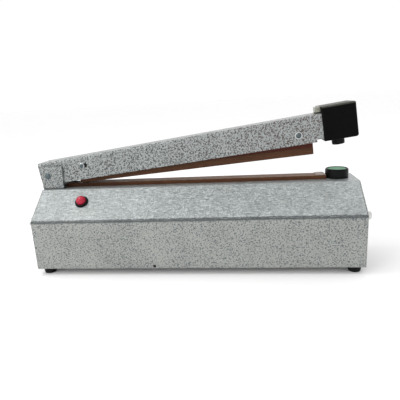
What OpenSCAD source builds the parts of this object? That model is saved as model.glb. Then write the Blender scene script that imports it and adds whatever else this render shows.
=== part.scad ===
// Impulse heat sealer for 300 mm plastic bags, hand operated.
// Frame: +X along the length, hinge at -X and handle at +X; -Y is the front; +Z up.
// Origin: centre of the bounding box in plan, on the ground under the rubber feet.
// The model is drawn with the arm open (rest pose).

/* [Base body] */
// Overall length of the sheet-metal body
body_l = 400; // [392:1:412]
// Depth of the body, front to back
body_d = 90; // [88:1:96]
// Height of the upright front panel
front_h = 63; // [58:1:70]
// Horizontal run of the sloped panel
slope_run = 40; // [38:0.5:42]
// Rise of the sloped panel
slope_rise = 31; // [28:0.5:34]
// Sheet thickness of the tray and the cover
sheet_t = 1.2; // [1:0.1:1.5]
// Sheet thickness of the end panels
end_t = 1.5; // [1.2:0.1:2]
// Height of the rubber feet
foot_h = 8; // [6:0.5:10]
// Diameter of the rubber feet
foot_dia = 16; // [14:0.5:18]

/* [Hinge] */
// Distance of the hinge axis from the left end of the body
hinge_in = 8.7; // [8:0.1:10]
// Height of the hinge axis over the flat top
hinge_up = 17.5; // [17.3:0.1:18.5]
// Diameter of the hinge pin
pin_dia = 6; // [5:0.5:6]
// Width between the outer faces of the two ears
ear_w = 43; // [43:0.5:45]
// Length of an ear
ear_l = 29; // [27:0.5:30]
// Height of an ear
ear_h = 30; // [29:0.5:32]

/* [Arm] */
// Angle that the arm closes through
open_a = 4.4; // [4.2:0.1:5]
// Angle between the arm and the lower jaw when closed
tilt_a = 3; // [2.9:0.1:3]
// Angle that the press bar swings through in the arm
bar_tilt = 0.55; // [0.5:0.05:0.55]
// Width of the arm channel
arm_w = 37; // [36:0.5:37]
// Sheet thickness of the arm channel
arm_t = 2; // [1.5:0.1:2.2]

/* [Jaws] */
// Length of the upper press bar
press_l = 301.4; // [290:1:304]
// Width of both jaws
jaw_w = 20; // [18:0.5:21]
// Height of the covered lower jaw
jaw_h = 4.8; // [4.6:0.1:5]

/* [Push button] */
// Outer diameter of the bezel
bezel_dia = 28; // [27:0.5:29]
// Height of the bezel over the flat top
bezel_h = 11.7; // [11:0.1:12]
// Diameter of the green cap
cap_dia = 22.4; // [20:0.2:22.6]

/* [Hidden] */
$fn = 48;
inlet_out = 7;
fy = -(body_d + inlet_out) / 2;
z0 = foot_h;
zk = foot_h + front_h;
zt = zk + slope_rise;
hl = body_l / 2;
yc = 65;
sl_a = atan2(slope_rise, slope_run);
hx = -hl + hinge_in;
hz = zt + hinge_up;
arm_a = open_a + tilt_a;
av_top = 17.7;
av_bl = -11.4;
av_br = -15.1;
au0 = -11.6;
au_step = 343;
au1 = 382;
// press bar pivot (the bolt near the handle) and the loose bolt near the hinge, in the arm frame
pv = [322.3, -3.5];
lv = [48, 5.6];
bar_a = open_a + bar_tilt;
pv_r = norm(pv);
pv_a = atan2(pv[1], pv[0]) + arm_a;
fb = -(pv_r * sin(pv_a - open_a) + hinge_up - jaw_h - 0.3);
fl = -284.5;
ft = 3.6;
jx0 = -hl + 27;
jx1 = hl - 36.6;
bx = hl - 22.2;
by = yc;
lx = -hl + 59.4;
ls = 29;
cu0 = 351;
cu1 = 390.1;
cv0 = -15.5;
cv1 = 25.2;
cw = arm_w / 2 + 2.8;
gx = 60;
// striker: place along the arm and height of its tip, in the arm frame
su = 370.2;
sv = -23.7;

// Body frame: y runs from the front panel (0) to the rear wall (body_d)
module B() translate([0, fy, 0]) children();
// Arm frame: x along the arm from the hinge axis, z across it, y from its centre plane
module A() B() translate([hx, yc, hz]) rotate([0, -arm_a, 0]) children();
// Press frame: origin on the pivot bolt, x along the press bar
module P() A() translate([pv[0], 0, pv[1]]) rotate([0, arm_a - bar_a, 0]) children();
// Lamp frame: z along the normal of the sloped panel
module S() B() translate([lx, ls * cos(sl_a), zk + ls * sin(sl_a)]) rotate([sl_a, 0, 0]) children();

// Profile in (x, z) extruded along y
module ext_y(y0, y1) translate([0, y1, 0]) rotate([90, 0, 0]) linear_extrude(y1 - y0) children();
// Profile in (y, z) extruded along x
module ext_x(x0, x1) translate([x0, 0, 0]) rotate([90, 0, 90]) linear_extrude(x1 - x0) children();
module cyl_y(d, y0, y1) translate([0, y1, 0]) rotate([90, 0, 0]) cylinder(d = d, h = y1 - y0);
module cyl_x(d, x0, x1) translate([x0, 0, 0]) rotate([0, 90, 0]) cylinder(d = d, h = x1 - x0);
module tube_y(d, di, y0, y1) difference() { cyl_y(d, y0, y1); cyl_y(di, y0 - 1, y1 + 1); }
module tube(d, di, h) difference() { cylinder(d = d, h = h); translate([0, 0, -1]) cylinder(d = di, h = h + 2); }
module box(x0, x1, y0, y1, z0b, z1) translate([x0, y0, z0b]) cube([x1 - x0, y1 - y0, z1 - z0b]);
module obround(l, d) { square([l - d, d], center = true); translate([(l - d) / 2, 0]) circle(d = d); translate([-(l - d) / 2, 0]) circle(d = d); }

// Positions
feet_xy = [[-hl + 10.4, 12], [hl - 10.4, 12], [-hl + 10.4, body_d - 12], [hl - 10.4, body_d - 12]];
end_yz = [[6.5, zk - 2], [body_d - 9, zt - 12], [body_d - 9, z0 + 12]];
jaw_sx = [-120, -5, 110];
brk_x = [-hl + 7, -hl + 17];
tr_x = [-56, 56];

// ---------- base body ----------
module base_tray() color([0.62, 0.64, 0.63]) B() {
  difference() {
    union() {
      ext_x(-hl + end_t, hl - end_t) polygon([[0, z0], [body_d, z0], [body_d, zt - sheet_t - 0.1],
        [body_d - sheet_t, zt - sheet_t - 0.1], [body_d - sheet_t, z0 + sheet_t], [sheet_t, z0 + sheet_t],
        [sheet_t, zk - 1.5], [0, zk - 1.5]]);
      for (s = [-1, 1]) {
        xa = s > 0 ? hl - end_t - sheet_t : -hl + end_t;
        box(xa, xa + sheet_t, sheet_t - 0.01, 14, zk - 21, zk - 9.6 + 7.8);
        box(xa, xa + sheet_t, body_d - 18, body_d - sheet_t + 0.01, zt - 21, zt - 11.8 + 7.5);
        box(xa, xa + sheet_t, body_d - 18, body_d - sheet_t + 0.01, z0 + sheet_t - 0.01, z0 + 20);
      }
    }
    for (p = end_yz) translate([0, p[0], p[1]]) cyl_x(4.1, -hl - 1, hl + 1);
    for (p = feet_xy) translate([p[0], p[1], z0 - 1]) cylinder(d = 4.1, h = 4);
    for (x = tr_x) translate([x - 10, 45, z0 - 1]) cylinder(d = 4.1, h = 4);
    translate([gx, body_d - 5, z0 + 24]) cyl_y(14.1, 0, 10);
    for (x = [100, 130]) translate([x, 45, z0 - 1]) cylinder(d = 3.1, h = 4);
    // small open hole at the foot of the front wall
    translate([-48.2, 0, z0 + 3.4]) cyl_y(3.8, -1, 4);
    // ventilation slots in the rear wall
    for (i = [0:6]) translate([-100 + i * 12, body_d - 5, z0 + 30]) rotate([-90, 0, 0]) rotate([0, 0, 90]) linear_extrude(10) obround(26, 4);
  }
}

module top_cover() color([0.66, 0.69, 0.69]) B() difference() {
  zi = zk + 2 * sheet_t * tan(sl_a) - sheet_t / cos(sl_a);
  ext_x(-hl + end_t, hl - end_t) polygon([[0, zk], [slope_run, zt], [body_d, zt], [body_d, zt - sheet_t],
    [body_d - sheet_t - 0.1, zt - sheet_t], [body_d - sheet_t - 0.1, zt - 9], [body_d - 2 * sheet_t - 0.1, zt - 9],
    [body_d - 2 * sheet_t - 0.1, zt - sheet_t], [slope_run + sheet_t * tan(sl_a / 2), zt - sheet_t],
    [2 * sheet_t, zi], [2 * sheet_t, zk - 8.4], [sheet_t, zk - 8.4], [sheet_t, zk - 0.25], [0, zk - 0.25]]);
  // clearance of the lip and the tabs at the body's ends
  for (s = [-1, 1]) translate([s * (hl - end_t - 2), 0, zk - 5]) cube([4.6, 16, 9.4], center = true);
  for (s = [-1, 1]) translate([s * (hl - end_t - 2), body_d - 9, zt - 9.4]) cube([4.6, 16.2, 12], center = true);
  for (x = jaw_sx) translate([x, yc, zt - 5]) cylinder(d = 4.1, h = 10);
  for (x = brk_x) translate([x, yc, zt - 5]) cylinder(d = 4.1, h = 10);
  for (x = [jx0 + 5, jx1 - 5]) box(x - 4, x + 4, yc - 3, yc + 3, zt - 5, zt + 5);
  translate([bx, by, zt - 5]) cylinder(d = 22.1, h = 10);
  translate([0, -fy, 0]) S() translate([0, 0, -5]) cylinder(d = 12.1, h = 10);
}

module end_panel(s) difference() {
  x0 = s > 0 ? hl - end_t : -hl;
  B() ext_x(x0, x0 + end_t) polygon([[0, z0], [body_d, z0], [body_d, zt], [slope_run, zt], [0, zk]]);
  B() for (p = end_yz) translate([0, p[0], p[1]]) cyl_x(4.1, x0 - 1, x0 + end_t + 1);
}
module end_panel_left() color([0.60, 0.62, 0.61]) end_panel(-1);
module end_panel_right() color([0.60, 0.62, 0.61]) end_panel(1);

module end_panel_screws() color([0.72, 0.72, 0.70]) B() for (s = [-1, 1], p = end_yz)
  translate([s * hl, p[0], p[1]]) rotate([0, s * 90, 0]) {
    translate([0, 0, -9]) cylinder(d = 4, h = 9.1);
    intersection() {
      cylinder(d = 9.4, h = 5);
      translate([0, 0, -1.2]) sphere(d = 12);
      translate([0, 0, 0]) difference() { cylinder(d = 10, h = 5); translate([-6, -0.6, 3.4]) cube([12, 1.2, 3]); }
    }
  }

module rubber_feet() color([0.06, 0.06, 0.06]) B() for (p = feet_xy) translate([p[0], p[1], 0]) difference() {
  union() { cylinder(d1 = foot_dia - 3, d2 = foot_dia - 1.2, h = 1.6); translate([0, 0, 1.6]) cylinder(d1 = foot_dia - 1.2, d2 = foot_dia, h = foot_h - 1.6); }
  translate([0, 0, -1]) cylinder(d = 9, h = 4.5);
  translate([0, 0, 0]) cylinder(d = 4.1, h = 20);
}
module foot_screws() color([0.7, 0.7, 0.68]) B() for (p = feet_xy) translate([p[0], p[1], 0]) {
  translate([0, 0, 1.2]) cylinder(d = 7.6, h = 2.3);
  translate([0, 0, 3.4]) cylinder(d = 4, h = z0 + 3);
  translate([0, 0, z0 + sheet_t]) cylinder(d = 8, h = 3, $fn = 6);
}

module hinge_bracket() color([0.60, 0.63, 0.63]) B() difference() {
  y0 = yc - ear_w / 2;
  union() {
    for (y = [y0, y0 + ear_w - 2]) ext_y(y, y + 2)
      polygon([[-hl, zt], [-hl + ear_l - 1, zt], [-hl + ear_l, zt + ear_h - 3], [-hl + ear_l - 3, zt + ear_h], [-hl + 2, zt + ear_h], [-hl, zt + ear_h - 2]]);
    box(-hl, -hl + 23, y0, y0 + ear_w, zt, zt + 2);
  }
  translate([hx, 0, hz]) cyl_y(pin_dia + 0.04, y0 - 1, y0 + ear_w + 1);
  for (x = brk_x) translate([x, yc, zt - 1]) cylinder(d = 4.1, h = 5);
}
module bracket_screws() color([0.7, 0.7, 0.68]) B() for (x = brk_x) translate([x, yc, zt]) {
  translate([0, 0, 2]) cylinder(d = 7, h = 0.8);
  translate([0, 0, -7]) cylinder(d = 4, h = 9.2);
}
module bracket_nuts() color([0.7, 0.7, 0.68]) B() for (x = brk_x) translate([x, yc, zt - sheet_t - 3])
  difference() { cylinder(d = 8, h = 3, $fn = 6); translate([0, 0, -1]) cylinder(d = 4.02, h = 6); }

module hinge_pin() color([0.66, 0.66, 0.64]) B() translate([hx, 0, hz]) {
  cyl_y(pin_dia, yc - ear_w / 2 - 0.2, yc + ear_w / 2 + 0.2);
  for (s = [-1, 1]) intersection() {
    translate([0, yc + s * (ear_w / 2 + 0.8), 0]) cube([12, 1.6, 12], center = true);
    translate([0, yc + s * (ear_w / 2 - 3.2), 0]) sphere(d = 9.6);
  }
}
module hinge_spacers() color([0.55, 0.55, 0.52]) B() translate([hx, 0, hz]) {
  sp = ear_w / 2 - 2 - arm_w / 2 - 0.35;
  tube_y(11, pin_dia + 0.1, yc - ear_w / 2 + 2, yc - ear_w / 2 + 2 + sp);
  tube_y(11, pin_dia + 0.1, yc + ear_w / 2 - 2 - sp, yc + ear_w / 2 - 2);
}
module return_spring() color([0.5, 0.5, 0.5]) B() {
  translate([hx, yc, hz]) tube_y(11.5, pin_dia + 1.2, -9, 9);
  translate([hx + 4.6, yc + 8.1, zt + 2.1]) cylinder(d = 1.6, h = hinge_up - 3.6);
  translate([hx, yc - 8, hz + 4.8]) cyl_x(1.6, 0, 17);
}

// ---------- lower jaw ----------
module lower_jaw_bar() color([0.7, 0.7, 0.68]) B() difference() {
  box(jx0 + 0.4, jx1 - 0.4, yc - jaw_w / 2 + 0.4, yc + jaw_w / 2 - 0.4, zt, zt + jaw_h - 1.3);
  for (x = jaw_sx) translate([x, yc, zt - 1]) cylinder(d = 4.02, h = 3.6);
  for (x = [jx0 + 5, jx1 - 5]) box(x - 3, x + 3, yc - 3, yc + 3, zt - 1, zt + 9);
}
module jaw_bar_screws() color([0.7, 0.7, 0.68]) B() for (x = jaw_sx) translate([x, yc, zt]) {
  translate([0, 0, -sheet_t - 2.6]) cylinder(d = 7, h = 2.6);
  translate([0, 0, -sheet_t - 0.1]) cylinder(d = 4, h = sheet_t + 2.4);
}
module element_pad() color([0.9, 0.88, 0.8]) B() difference() {
  box(jx0 + 8.2, jx1 - 8.2, yc - 8, yc + 8, zt + jaw_h - 1.3, zt + jaw_h - 0.9);
}
module heating_element() color([0.75, 0.72, 0.68]) B() difference() {
  union() {
    box(jx0 + 4.4, jx1 - 4.4, yc - 1.25, yc + 1.25, zt + jaw_h - 0.9, zt + jaw_h - 0.6);
    // ribbon ends, widened into an eyelet under each clamp screw
    for (x = [jx0 + 4.4, jx1 - 4.9]) {
      box(x, x + 0.5, yc - 1.25, yc + 1.25, zt - 8, zt + jaw_h - 0.6);
      box(x, x + 0.5, yc - 3.4, yc + 3.4, zt - 14.6, zt - 7.4);
    }
  }
  translate([0, yc, zt - 11]) cyl_x(3.2, jx0, jx1);
}
module lower_jaw_cover() color([0.36, 0.27, 0.21]) B() {
  difference() {
    box(jx0, jx1, yc - jaw_w / 2, yc + jaw_w / 2, zt, zt + jaw_h);
    box(jx0 + 0.4, jx1 - 0.4, yc - jaw_w / 2 + 0.4, yc + jaw_w / 2 - 0.4, zt - 1, zt + jaw_h - 0.6);
  }
  // folded end of the cloth
  box(jx1 - 11, jx1, yc - jaw_w / 2, yc + jaw_w / 2, zt + jaw_h - 0.01, zt + jaw_h + 1.6);
}
module element_anchor_blocks() color([0.25, 0.17, 0.12]) B() for (x = [jx0 + 4.9, jx1 - 14.9]) difference() {
  box(x, x + 10, yc - 11, yc + 11, zt - 15, zt - sheet_t);
  translate([x - 1, yc, zt - 11]) cyl_x(3.02, 0, 20);
}
module element_clamp_screws() color([0.8, 0.7, 0.4]) B() {
  translate([jx0 + 4.4, yc, zt - 11]) { cyl_x(5.6, -2, 0); }
  translate([jx0 + 4.4, yc, zt - 11]) intersection() { cyl_x(3, -0.1, 9); translate([4.5, 0, 0]) cube([10, 9, 9], center = true); }
  translate([jx1 - 4.4, yc, zt - 11]) { cyl_x(5.6, 0, 2); cyl_x(3, -9, 0.1); }
}

// ---------- transformer ----------
module transformer_core() color([0.3, 0.3, 0.31]) B() difference() {
  box(-38, 38, 25, 65, z0 + sheet_t + 0.3, z0 + sheet_t + 62.3);
  for (s = [-1, 1]) box(s * 12.7 + (s < 0 ? -12.7 : 0), s * 12.7 + (s < 0 ? 0 : 12.7), 20, 70, z0 + sheet_t + 13, z0 + sheet_t + 50);
}
module transformer_bobbin() color([0.85, 0.83, 0.76]) B() difference() {
  union() {
    box(-14.4, 14.4, 23.4, 66.6, z0 + sheet_t + 13.1, z0 + sheet_t + 49.9);
    for (z = [13.1, 47.9]) box(-25.2, 25.2, 14, 76, z0 + sheet_t + z, z0 + sheet_t + z + 2);
  }
  box(-12.8, 12.8, 24.8, 65.2, z0, z0 + 80);
}
module transformer_winding() color([0.55, 0.3, 0.12]) B() difference() {
  box(-25, 25, 14.6, 75.4, z0 + sheet_t + 15.2, z0 + sheet_t + 47.8);
  box(-14.5, 14.5, 23.3, 66.7, z0, z0 + 80);
}
module transformer_strap() color([0.7, 0.7, 0.68]) B() difference() {
  union() {
    ext_y(35, 55) polygon([[-40, z0 + sheet_t], [-38.2, z0 + sheet_t], [-38.2, z0 + sheet_t + 62.4], [38.2, z0 + sheet_t + 62.4], [38.2, z0 + sheet_t], [40, z0 + sheet_t],
      [40, z0 + sheet_t + 64], [-40, z0 + sheet_t + 64]]);
    box(-74, -40 + 0.01, 35, 55, z0 + sheet_t, z0 + sheet_t + 1.6);
    box(40 - 0.01, 56, 35, 55, z0 + sheet_t, z0 + sheet_t + 1.6);
  }
  for (x = tr_x) translate([x - 10, 45, z0]) cylinder(d = 4.1, h = 6);
}
module transformer_screws() color([0.7, 0.7, 0.68]) B() for (x = tr_x) translate([x - 10, 45, 0]) {
  translate([0, 0, z0 - 2]) cylinder(d = 7.4, h = 2);
  translate([0, 0, z0 - 0.1]) cylinder(d = 4, h = 8);
  translate([0, 0, z0 + sheet_t + 1.6]) cylinder(d = 8, h = 3, $fn = 6);
}

// ---------- push button ----------
module button_bezel() color([0.05, 0.05, 0.05]) B() translate([bx, by, zt]) difference() {
  union() {
    cylinder(d = bezel_dia, h = bezel_h - 1.2);
    translate([0, 0, bezel_h - 1.2]) cylinder(d1 = bezel_dia, d2 = bezel_dia - 2, h = 1.2);
    translate([0, 0, -24]) cylinder(d = 22, h = 24.1);
  }
  translate([0, 0, 2]) cylinder(d = cap_dia + 0.8, h = 20);
  translate([0, 0, -22]) cylinder(d = 16, h = 22.5);
  translate([0, 0, -30]) cylinder(d = 8.1, h = 40);
}
module button_nut() color([0.12, 0.12, 0.12]) B() translate([bx, by, zt - sheet_t - 4]) tube(28, 22.04, 4);
module contact_block() color([0.2, 0.2, 0.2]) B() difference() {
  box(bx - 14, bx + 14, by - 20, by + 20, zt - 50, zt - 24.1);
  translate([bx, by, zt - 35]) cylinder(d = 9, h = 12);
  for (y = [-14, 14]) translate([bx - 8, by + y, zt - 52]) cylinder(d = 4, h = 10);
}
module button_spring() color([0.6, 0.6, 0.6]) B() translate([bx, by, zt - 21.9]) tube(14, 11, 17.5);
module button_cap() color([0.32, 0.55, 0.42]) B() translate([bx, by, zt]) {
  translate([0, 0, bezel_h - 6.2]) cylinder(d = cap_dia, h = 5.2);
  translate([0, 0, bezel_h - 1]) cylinder(d1 = cap_dia, d2 = cap_dia - 1.2, h = 0.6);
  translate([0, 0, -27]) cylinder(d = 8, h = bezel_h + 21);
  translate([0, 0, -4.1]) cylinder(d = 13.4, h = 1.6);
}

// ---------- pilot lamp ----------
module lamp_bezel() color([0.05, 0.05, 0.05]) S() difference() {
  union() {
    cylinder(d1 = 17, d2 = 15.4, h = 2.6);
    translate([0, 0, -22]) cylinder(d = 12, h = 22.1);
  }
  translate([0, 0, -20]) cylinder(d = 10.1, h = 30);
}
module lamp_lens() color([0.75, 0.08, 0.06]) S() difference() {
  union() {
    translate([0, 0, -4]) cylinder(d = 10, h = 7);
    translate([0, 0, 2.6]) cylinder(d = 12, h = 1.4);
    translate([0, 0, 3.9]) intersection() { translate([0, 0, -1.9]) sphere(d = 13.2); cylinder(d = 14, h = 5); }
  }
  translate([0, 0, -5]) cylinder(d = 7, h = 8.5);
}
module lamp_nut() color([0.12, 0.12, 0.12]) S() translate([0, 0, -sheet_t - 3]) difference() { cylinder(d = 16, h = 3, $fn = 6); translate([0, 0, -1]) cylinder(d = 12.04, h = 6); }
module lamp_bulb() color([0.9, 0.6, 0.4]) S() translate([0, 0, -14]) { cylinder(d = 5, h = 11); translate([0, 0, 11]) sphere(d = 5); }

// ---------- wiring ----------
module terminal_strip() color([0.85, 0.83, 0.76]) B() difference() {
  union() {
    box(92, 138, 38, 52, z0 + sheet_t, z0 + sheet_t + 6);
    for (i = [0:2]) box(104 + i * 8, 110 + i * 8, 38, 52, z0 + sheet_t + 5.9, z0 + sheet_t + 14);
  }
  for (x = [100, 130]) translate([x, 45, z0]) cylinder(d = 3.02, h = 20);
}
module terminal_screws() color([0.7, 0.7, 0.68]) B() for (x = [100, 130]) translate([x, 45, 0]) {
  translate([0, 0, z0 + sheet_t + 6]) cylinder(d = x > 120 ? 3.6 : 5.6, h = 2);
  translate([0, 0, z0]) cylinder(d = 3, h = 8);
}
module cord_inlet() color([0.07, 0.07, 0.07]) B() translate([gx, body_d, z0 + 24]) difference() {
  union() {
    cyl_y(17, 0, 2.4);
    cyl_y(11, 2.3, inlet_out);
    cyl_y(14, -sheet_t - 0.01, 0.01);
    cyl_y(17, -sheet_t - 2.4, -sheet_t);
  }
  cyl_y(7, -10, 20);
}
// a run of insulated wire through a list of points
module run(pts, d) for (i = [0:len(pts) - 2]) {
  v = pts[i + 1] - pts[i];
  translate(pts[i]) rotate([0, acos(v[2] / norm(v)), atan2(v[1], v[0])]) cylinder(d = d, h = norm(v), $fn = 16);
  if (i > 0) translate(pts[i]) sphere(d = d, $fn = 16);
}
module lead_wires() color([0.6, 0.12, 0.1]) B() {
  le = [lx, ls * cos(sl_a) + 22 * sin(sl_a), zk + ls * sin(sl_a) - 22 * cos(sl_a)];
  run([[-20, 19, z0 + sheet_t + 49.9], [-20, 19, z0 + 66], [-90, 26, z0 + 62], le + 9 * [0, sin(sl_a), -cos(sl_a)], le], 2.2);
  run([[bx - 8, by - 14, zt - 42], [bx - 8, by - 14, zt - 60], [115, 45, z0 + 38], [115, 45, z0 + sheet_t + 14]], 2.2);
  run([[gx, body_d - 8, z0 + 24], [gx + 12, body_d - 16, z0 + 24], [100, 60, z0 + 28], [107, 45, z0 + 28], [107, 45, z0 + sheet_t + 14]], 5);
}

// ---------- arm ----------
module arm_side() polygon([[au0, av_bl + 3], [au0 + 3, av_bl], [au_step, av_br], [au_step, av_br + 3], [au1, av_br + 3], [au1, av_top], [au0, av_top]]);
module arm_channel() color([0.60, 0.63, 0.63]) A() difference() {
  ext_y(-arm_w / 2, arm_w / 2) arm_side();
  box(au0 - 5, au1 + 5, -arm_w / 2 + arm_t, arm_w / 2 - arm_t, -60, av_top - arm_t);
  cyl_y(pin_dia + 0.1, -30, 30);
  translate([lv[0] + 2.2, 30, lv[1]]) rotate([90, 0, 0]) linear_extrude(60) obround(9.6, 5);
  translate([pv[0], 0, pv[1]]) cyl_y(4.1, -30, 30);
  translate([368, 0, 4]) cyl_y(4.1, -30, 30);
  box(au_step, au1 + 1, -1.8, 1.8, 0, 40);
}
module handle_tang() color([0.55, 0.57, 0.57]) A() difference() {
  union() {
    ext_y(-1.5, 1.5) polygon([[341, -4], [381, -4], [381, 21], [cu0, 21], [cu0, cv1 - 1], [345.3, cv1 - 1], [345.3, av_top - arm_t - 0.3], [341, av_top - arm_t - 0.3]]);
    // wing of the tang over the arm, against the end of the cap
    box(345.3, cu0, -14, 1.5, 19.2, cv1);
  }
  translate([368, 0, 4]) cyl_y(4.1, -30, 30);
}
module tang_bolt() color([0.7, 0.7, 0.68]) A() translate([368, 0, 4]) {
  cyl_y(4, -arm_w / 2 - 0.1, arm_w / 2 + 0.1);
  cyl_y(7, -arm_w / 2 - 1.8, -arm_w / 2);
  cyl_y(7, arm_w / 2, arm_w / 2 + 1.8);
  tube_y(7, 3.9, -arm_w / 2 + arm_t, -1.5);
  tube_y(7, 3.9, 1.5, arm_w / 2 - arm_t);
}
module handle_cap() color([0.05, 0.05, 0.05]) A() difference() {
  intersection() {
    ext_y(-cw, cw) polygon([[cu0, cv0 + 1.5], [cu0 + 1.5, cv0], [cu1 - 3, cv0], [cu1, cv0 + 3], [cu1, cv1 - 1.8], [cu1 - 1.8, cv1], [cu0 + 1, cv1], [cu0, cv1 - 1]]);
    translate([cu0 - 1, 0, 0]) ext_x(0, 60) polygon([[-cw, cv0 + 2], [-cw + 2, cv0], [cw - 2, cv0], [cw, cv0 + 2], [cw, cv1 - 3.4], [cw - 3.4, cv1], [-cw + 3.4, cv1], [-cw, cv1 - 3.4]]);
  }
  box(cu0 - 1, 382.3, -arm_w / 2 - 0.2, arm_w / 2 + 0.2, av_br + 2.6, av_top + 0.2);
  box(cu0 - 1, 382.3, -2, 2, 0, 21.3);
  translate([368, 0, 4]) for (s = [-1, 1]) cyl_y(7.6, s * (arm_w / 2 + 0.9) - 1.2, s * (arm_w / 2 + 0.9) + 1.2);
  translate([su, 0, cv0 - 1]) cylinder(d = 4.1, h = 10);
}
module striker_stub() color([0.04, 0.04, 0.04]) A() translate([su, 0, sv]) difference() {
  union() { cylinder(d1 = 13, d2 = 15, h = 1.2); translate([0, 0, 1.2]) cylinder(d = 15, h = cv0 - sv - 1.2); }
  translate([0, 0, -1]) cylinder(d = 8, h = 4.4);
  translate([0, 0, -1]) cylinder(d = 4.1, h = 20);
}
module striker_screw() color([0.7, 0.7, 0.68]) A() translate([su, 0, sv]) {
  translate([0, 0, 1]) cylinder(d = 7.4, h = 2.4);
  translate([0, 0, 3.3]) cylinder(d = 4, h = 12);
  translate([0, 0, av_br + 2.6 - sv]) cylinder(d = 7, h = 2.2, $fn = 6);
}

// ---------- upper jaw ----------
module press_bar() color([0.33, 0.20, 0.15]) P() difference() {
  box(fl, fl + press_l, -jaw_w / 2 + 0.4, jaw_w / 2 - 0.4, fb + 4, ft);
  cyl_y(4.1, -30, 30);
  // upright slot round the loose bolt
  d = lv - pv;
  g0 = arm_a - bar_a;
  translate([d[0] * cos(g0) - d[1] * sin(g0), 30, d[0] * sin(g0 + bar_tilt / 2) + d[1] * cos(g0)]) rotate([90, 0, 0]) linear_extrude(60) rotate(90) obround(7.6, 4.6);
}
module press_bolts() color([0.75, 0.75, 0.73]) A() for (p = [[lv[0], lv[1], 7.4], [pv[0], pv[1], 8.4]]) translate([p[0], 0, p[1]]) {
  cyl_y(4, -arm_w / 2 - 0.1, arm_w / 2 + 5.4);
  intersection() {
    cyl_y(p[2], -arm_w / 2 - 2.4, -arm_w / 2);
    translate([0, -arm_w / 2 + 2.2, 0]) sphere(d = 10.4);
    difference() { cube([20, 60, 20], center = true); translate([-0.5, -arm_w / 2 - 5, -6]) cube([1, 3.6, 12]); }
  }
}
module press_nuts() color([0.7, 0.7, 0.68]) A() for (p = [lv, pv]) translate([p[0], 0, p[1]])
  difference() { translate([0, arm_w / 2 + 3.2, 0]) rotate([90, 0, 0]) cylinder(d = 8, h = 3.2, $fn = 6); cyl_y(4.02, 0, 30); }
module press_spacers() color([0.6, 0.6, 0.58]) A() for (p = [lv, pv]) translate([p[0], 0, p[1]]) {
  tube_y(8, 4.1, -arm_w / 2 + arm_t, -jaw_w / 2 + 0.1);
  tube_y(8, 4.1, jaw_w / 2 - 0.1, arm_w / 2 - arm_t);
}
module silicone_strip() color([0.7, 0.25, 0.15]) P()
  box(fl + 0.4, fl + press_l - 0.4, -jaw_w / 2 + 0.8, jaw_w / 2 - 0.8, fb + 0.5, fb + 4);
module press_cover() color([0.40, 0.30, 0.24]) P() difference() {
  box(fl, fl + press_l, -jaw_w / 2, jaw_w / 2, fb, fb + 9);
  box(fl - 1, fl + press_l + 1, -jaw_w / 2 + 0.4, jaw_w / 2 - 0.4, fb + 0.5, 40);
}

base_tray();
top_cover();
end_panel_left();
end_panel_right();
end_panel_screws();
rubber_feet();
foot_screws();
hinge_bracket();
bracket_screws();
bracket_nuts();
hinge_pin();
hinge_spacers();
return_spring();
lower_jaw_bar();
jaw_bar_screws();
element_pad();
heating_element();
lower_jaw_cover();
element_anchor_blocks();
element_clamp_screws();
transformer_core();
transformer_bobbin();
transformer_winding();
transformer_strap();
transformer_screws();
button_bezel();
button_nut();
contact_block();
button_spring();
button_cap();
lamp_bezel();
lamp_lens();
lamp_nut();
lamp_bulb();
terminal_strip();
terminal_screws();
cord_inlet();
lead_wires();
arm_channel();
handle_tang();
tang_bolt();
handle_cap();
striker_stub();
striker_screw();
press_bar();
press_bolts();
press_nuts();
press_spacers();
silicone_strip();
press_cover();
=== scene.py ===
import bpy, bmesh, math
from mathutils import Vector, Matrix, noise


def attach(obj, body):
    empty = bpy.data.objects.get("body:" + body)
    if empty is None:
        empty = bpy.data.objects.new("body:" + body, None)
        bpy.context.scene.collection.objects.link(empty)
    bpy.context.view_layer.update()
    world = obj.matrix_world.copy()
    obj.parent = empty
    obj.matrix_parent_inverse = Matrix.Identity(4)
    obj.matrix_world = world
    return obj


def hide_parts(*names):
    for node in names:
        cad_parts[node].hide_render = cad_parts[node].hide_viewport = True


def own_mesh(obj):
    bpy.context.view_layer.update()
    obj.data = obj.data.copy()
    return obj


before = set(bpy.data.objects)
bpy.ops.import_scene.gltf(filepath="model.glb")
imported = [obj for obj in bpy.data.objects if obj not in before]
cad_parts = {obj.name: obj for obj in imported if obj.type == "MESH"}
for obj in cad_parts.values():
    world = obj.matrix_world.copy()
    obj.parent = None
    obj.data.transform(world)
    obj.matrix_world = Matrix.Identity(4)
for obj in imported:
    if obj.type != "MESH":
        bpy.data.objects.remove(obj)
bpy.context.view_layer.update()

sc = bpy.context.scene

# ------------------------------------------------------------------ dimensions (mm, as the CAD)
FY = -48.5
Z0, ZK, ZT = 8.0, 71.0, 102.0
HL, BD, ST = 200.0, 90.0, 1.2
YC = 65.0
SL = math.atan2(31, 40)
HX, HZ = -HL + 8.7, ZT + 17.5
OPEN, TILT = math.radians(4.4), math.radians(3.0)
VT, VBL, VBR = 17.7, -11.4, -15.1
U0, USTEP, U1 = -11.6, 343.0, 382.0
AW, EW = 18.5, 21.5
PV, LV, TILTBAR = (322.3, -3.5), (48.0, 5.6), math.radians(0.55)
PL, FL, FT = 301.4, -284.5, 3.6
JX0, JX1, JH = -173.0, 163.4, 4.8
BX, BY, BH = 177.8, YC, 11.7
LX, LS = -140.6, 29.0
CU0, CU1, CV0, CV1 = 351.0, 390.1, -15.5, 25.2
SU, SV = 370.2, -23.7
CW = AW + 2.8
AA, BA = OPEN + TILT, OPEN + TILTBAR
_pr, _pa = math.hypot(*PV), math.atan2(PV[1], PV[0]) + AA
FB = -(_pr * math.sin(_pa - OPEN) + 17.5 - JH - 0.3)

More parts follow.
